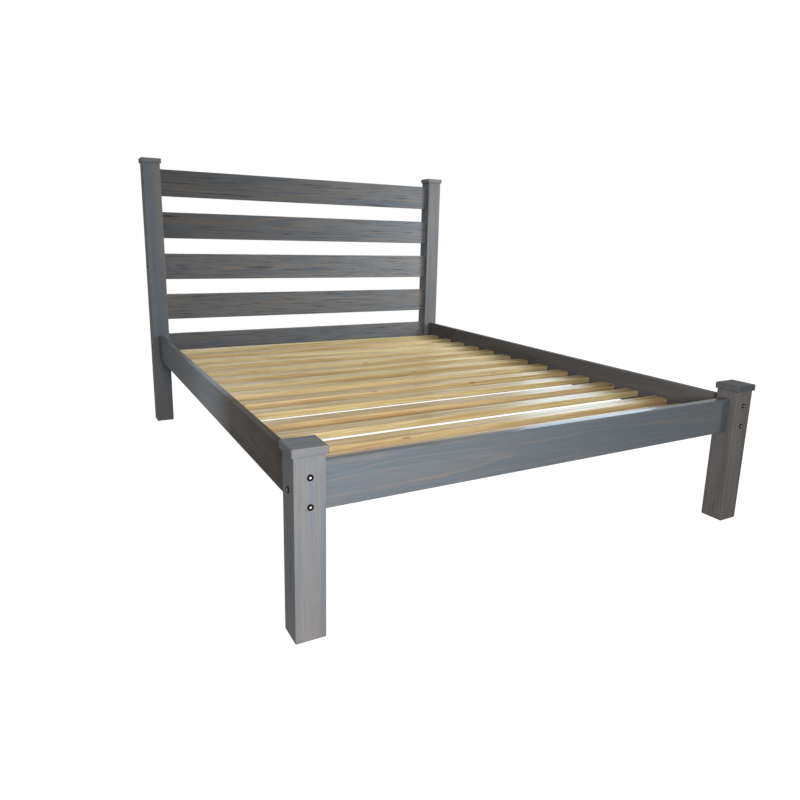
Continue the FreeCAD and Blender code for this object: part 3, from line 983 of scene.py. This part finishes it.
@dataclass
class Bolts:
    """The bolts' heads, which are all that shows of them."""

    material: bpy.types.Material
    rim: float = 0.0007
    across_flats: float = 0.005
    socket_depth: float = 0.0016
    bright_reach: float = 0.003
    steps: int = 42

    @staticmethod
    def ring(mesh: bmesh.types.BMesh, face: Vector, turn: Matrix, count: int, reach: float,
             level: float) -> list[bmesh.types.BMVert]:
        """Add the points of one ring round a head's axis.

        Args:
            mesh: Where to add them.
            face: The middle of the head's underside.
            turn: The turn from upright to the way that the head points.
            count: How many points there are.
            reach: How far they are from the axis.
            level: How far they are above the underside.

        Returns:
            The points.
        """
        points = []
        for step in range(count):
            angle = math.tau * step / count
            offset = Vector((reach * math.cos(angle), reach * math.sin(angle), level))
            points.append(mesh.verts.new(face + turn @ offset))
        return points

    def head(self, mesh: bmesh.types.BMesh, face: Vector, outward: Vector, radius: float,
             height: float) -> None:
        """Add one head: a low drum with a rounded rim and a hexagon socket.

        Args:
            mesh: Where to add it.
            face: The middle of the head's underside, on the post.
            outward: The way that the head points.
            radius: The head's radius.
            height: The head's height.
        """
        turn = outward.to_track_quat("Z", "Y").to_matrix()
        rows = [(radius, 0.0), (radius, height - self.rim)]
        rows += [(radius - self.rim * (1 - math.cos(angle)),
                  height - self.rim * (1 - math.sin(angle)))
                 for angle in (math.pi / 6, math.pi / 3, math.pi / 2)]
        drum = [self.ring(mesh, face, turn, self.steps, *row) for row in rows]
        corner = self.across_flats / math.sqrt(3)
        socket = [self.ring(mesh, face, turn, HEXAGON, corner, level)
                  for level in (height, height - self.socket_depth)]
        mesh.faces.new(list(reversed(drum[0])))
        join_rings(mesh, drum, smooth=True)
        brim, hexagon = drum[-1], socket[0]
        for index in range(self.steps):
            after = (index + 1) % self.steps
            near, next_near = (round(HEXAGON * step / self.steps) % HEXAGON
                               for step in (index, index + 1))
            mesh.faces.new((brim[index], brim[after], hexagon[next_near]))
            if near != next_near:
                mesh.faces.new((brim[index], hexagon[next_near], hexagon[near]))
        join_rings(mesh, socket, smooth=False)
        mesh.faces.new(socket[-1])

    def group(self, node: str, spots: list[tuple[Vector, Vector]], radius: float,
              height: float) -> None:
        """Make one piece of the heads that a CAD node holds.

        Args:
            node: The CAD node.
            spots: The middle of each head's underside, and the way that it points.
            radius: The heads' radius.
            height: The heads' height.
        """
        mesh = bmesh.new()
        for face, outward in spots:
            self.head(mesh, face, outward, radius, height)
        bmesh.ops.recalc_face_normals(mesh, faces=mesh.faces)
        # Points on each socket's floor get the near-white painted highlight.
        bright = mesh.verts.layers.float.new(CUT)
        for face, outward in spots:
            for vertex in mesh.verts:
                reach = vertex.co - face
                level = reach.dot(outward)
                near = (reach - level * outward).length < self.bright_reach
                if reach.length < 2 * radius and near and level < height - self.rim:
                    vertex[bright] = 1.0
        piece = cast(node + "_heads", mesh)
        piece.data.materials.append(self.material)
        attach(piece, BODY)
        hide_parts(node)
        log.info("made %s with %d heads", piece.name, len(spots))

    def build(self) -> None:
        """Make the heads of all three groups, where their nodes' boxes put them."""
        foot_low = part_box("foot_post_left")[0]
        head_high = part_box("head_post_left")[1]
        bolts_low, bolts_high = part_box("foot_rail_bolts")
        radius = (bolts_high.z - bolts_low.z) / 2
        height = foot_low.x - bolts_low.x
        middle = (bolts_low + bolts_high) / 2
        left, right = Vector((-1, 0, 0)), Vector((1, 0, 0))
        ways = ((left, foot_low.x), (right, -foot_low.x))
        self.group("foot_rail_bolts", [
            (Vector((x, middle.y, middle.z)), way) for way, x in ways
        ], radius, height)
        low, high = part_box("head_rail_bolts")
        levels = (low.z + radius, (low.z + high.z) / 2, high.z - radius)
        self.group("head_rail_bolts", [
            (Vector((x, (low.y + high.y) / 2, z)), way) for z in levels for way, x in ways
        ], radius, height)
        low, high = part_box("side_rail_bolts")
        ends = ((Vector((0, -1, 0)), foot_low.y), (Vector((0, 1, 0)), head_high.y))
        self.group("side_rail_bolts", [
            (Vector((x, y, z)), way)
            for x in (low.x + radius, high.x - radius)
            for z in (low.z + radius, high.z - radius) for way, y in ends
        ], radius, height)


@dataclass
class Softbox:
    """A flat lamp that points at a place, with its light in a cone of spread degrees."""

    name: str
    place: Place
    target: Place
    sides: tuple[float, float]
    power: float
    tint: tuple[float, float, float] = (1.0, 1.0, 1.0)
    spread: float = 180.0

    def build(self) -> None:
        """Hang the lamp."""
        data = bpy.data.lights.new(self.name, "AREA")
        data.shape = "RECTANGLE"
        data.size, data.size_y = self.sides
        data.energy = self.power
        data.color = self.tint
        data.spread = math.radians(self.spread)
        lamp = hang(self.name, data)
        lamp.location = self.place
        look = Vector(self.target) - Vector(self.place)
        lamp.rotation_euler = look.to_track_quat("-Z", "Y").to_euler()
        lamp.visible_camera = False


@dataclass
class Camera:
    """The viewpoint, as found by fitting the bed's edges, in metres, degrees and pixels."""

    place: Place = (-1.275872, -2.390199, 0.95559)
    yaw: float = 29.359
    pitch: float = -12.53
    roll: float = 1.469
    focal_pixels: float = 646.398
    centre_pixels: tuple[float, float] = (407.147, 379.899)

    def build(self) -> None:
        """Set up the camera and make it the scene's."""
        yaw, pitch, roll = (math.radians(angle) for angle in (self.yaw, self.pitch, self.roll))
        forward = Vector((math.sin(yaw) * math.cos(pitch), math.cos(yaw) * math.cos(pitch),
                          math.sin(pitch)))
        level = Vector((math.cos(yaw), -math.sin(yaw), 0))
        upright = level.cross(forward)
        right = level * math.cos(roll) + upright * math.sin(roll)
        up = upright * math.cos(roll) - level * math.sin(roll)
        data = bpy.data.cameras.new("camera")
        data.sensor_width = SENSOR_WIDTH
        data.sensor_fit = "HORIZONTAL"
        data.lens = SENSOR_WIDTH * self.focal_pixels / IMAGE_SIDE
        data.shift_x = (IMAGE_SIDE / 2 - self.centre_pixels[0]) / IMAGE_SIDE
        data.shift_y = (self.centre_pixels[1] - IMAGE_SIDE / 2) / IMAGE_SIDE
        camera = hang("camera", data)
        turn = Matrix((right, up, -forward)).transposed().to_4x4()
        camera.matrix_world = Matrix.Translation(Vector(self.place)) @ turn
        bpy.context.scene.camera = camera


@dataclass
class Studio:
    """The white floor and backdrop, the lamps and the camera."""

    floor_side: float = 60.0
    floor_tint: Colour = (0.38, 0.38, 0.38, 1.0)
    lift: float = 0.93
    ambient: float = 0.19
    ambient_tint: Colour = (1.0, 0.95, 0.89, 1.0)
    lamps: tuple[Softbox, ...] = (
        Softbox("key_softbox", (-1.05, -2.85, 1.02), (-0.2, -0.2, 0.4), (0.5, 0.5), 50.0,
                (1.0, 0.975, 0.95)),
        Softbox("front_window_softbox", (1.9, -0.1, 1.4), (0.3, 1.0, 0.75), (0.8, 0.8), 12.0,
                (0.90, 0.96, 1.0), 100.0),
        Softbox("edge_softbox", (1.95, -0.82, 1.6), (0.5, -1.05, 0.44), (0.3, 0.9), 5.0,
                (0.80, 0.92, 1.0)),
        Softbox("side_window_softbox", (3.05, 1.9, 1.3), (0.0, 0.2, 0.5), (1.2, 1.0), 18.0,
                (0.60, 0.83, 1.0)),
        Softbox("rear_softbox", (0.0, 3.2, 2.3), (0.0, 1.05, 0.6), (0.8, 0.8), 6.0,
                (0.95, 0.98, 1.0), 60.0),
        Softbox("top_softbox", (0.2, 0.6, 3.4), (0.0, 0.2, 0.3), (2.6, 2.6), 9.0,
                (0.95, 0.98, 1.0)),
    )

    @staticmethod
    def seen(bench: Bench) -> Socket:
        """Tell the rays that show the background from those that only light the bed.

        Args:
            bench: The material or world that is being made.

        Returns:
            One for camera, glossy and transmission rays, and nought for the rest.
        """
        ray = bench.node("LightPath")
        shown = bench.sum("MAXIMUM", ray.outputs["Is Camera Ray"], ray.outputs["Is Glossy Ray"])
        return bench.sum("MAXIMUM", shown, ray.outputs["Is Transmission Ray"])

    def floor(self) -> None:
        """Lay a floor that reads as white and still takes the bed's shadow."""
        mesh = bmesh.new()
        bmesh.ops.create_grid(mesh, x_segments=1, y_segments=1, size=self.floor_side / 2)
        floor = cast("studio_floor", mesh)
        bench = Bench(bpy.data.materials.new("studio_floor_finish"))
        matte = bench.node("BsdfDiffuse")
        matte.inputs["Color"].default_value = self.floor_tint
        glow = bench.node("Emission")
        glow.inputs["Color"].default_value = WHITE
        bench.feed(glow.inputs["Strength"], bench.sum("MULTIPLY", self.seen(bench), self.lift))
        both = bench.node("AddShader")
        bench.feed(both.inputs[0], matte.outputs[0])
        bench.feed(both.inputs[1], glow.outputs[0])
        floor.data.materials.append(bench.finish(both.outputs[0]))
        floor.location.z = cad_box[0][2]

    def backdrop(self) -> None:
        """Make the world white behind the bed and in reflections, and plain light elsewhere."""
        bench = Bench(bpy.data.worlds.new("studio"))
        plain = bench.node("Background")
        plain.inputs["Color"].default_value = self.ambient_tint
        plain.inputs["Strength"].default_value = self.ambient
        white = bench.node("Background")
        white.inputs["Color"].default_value = WHITE
        white.inputs["Strength"].default_value = 1.0
        mix = bench.node("MixShader")
        bench.feed(mix.inputs[0], self.seen(bench))
        bench.feed(mix.inputs[1], plain.outputs[0])
        bench.feed(mix.inputs[2], white.outputs[0])
        bpy.context.scene.world = bench.finish(mix.outputs[0], "OutputWorld")

    def build(self) -> None:
        """Set up the studio."""
        bpy.context.scene.view_settings.view_transform = "Standard"
        self.floor()
        self.backdrop()
        for lamp in self.lamps:
            lamp.build()
        Camera().build()
        log.info("set up the studio")


def main() -> None:
    """Build the bed and its studio."""
    logging.basicConfig(level=logging.INFO, format="%(name)s: %(message)s")
    post = StainedPine("stained_post_finish", band=0.30, streak=0.22, fleck=0.14, rings=0.25)
    side = StainedPine("stained_side_finish", band=0.10, streak=0.25, fleck=0.25, rings=0.20)
    head = StainedPine("stained_head_finish", band=0.25, streak=0.85, fleck=0.95, rings=1.00,
                       umber=(0.070, 0.074, 0.078, 1.0),
                       timber=Timber(ring_spacing=0.009, ripple=0.003,
                                     streaks=(1.8, 150.0, 150.0), flecks=(5.0, 230.0, 230.0)))
    foot = StainedPine("stained_foot_finish", band=0.08, streak=0.14, fleck=0.12, rings=0.80,
                       slate=(0.147, 0.194, 0.236, 1.0), ash=(0.186, 0.217, 0.245, 1.0),
                       tan=(0.290, 0.250, 0.220, 1.0), rub=0.15, coat=0.50, coat_roughness=0.16,
                       timber=Timber(ring_spacing=0.010, wander=0.016, ripple=0.0045,
                                     late_start=0.62, late_peak=0.84))
    Frame(post.make(), side.make(), head.make(), foot.make()).build()
    Deck(BarePine().make()).build()
    Bolts(BlackSteel().make()).build()
    Studio().build()


if __name__ == "__main__":
    main()
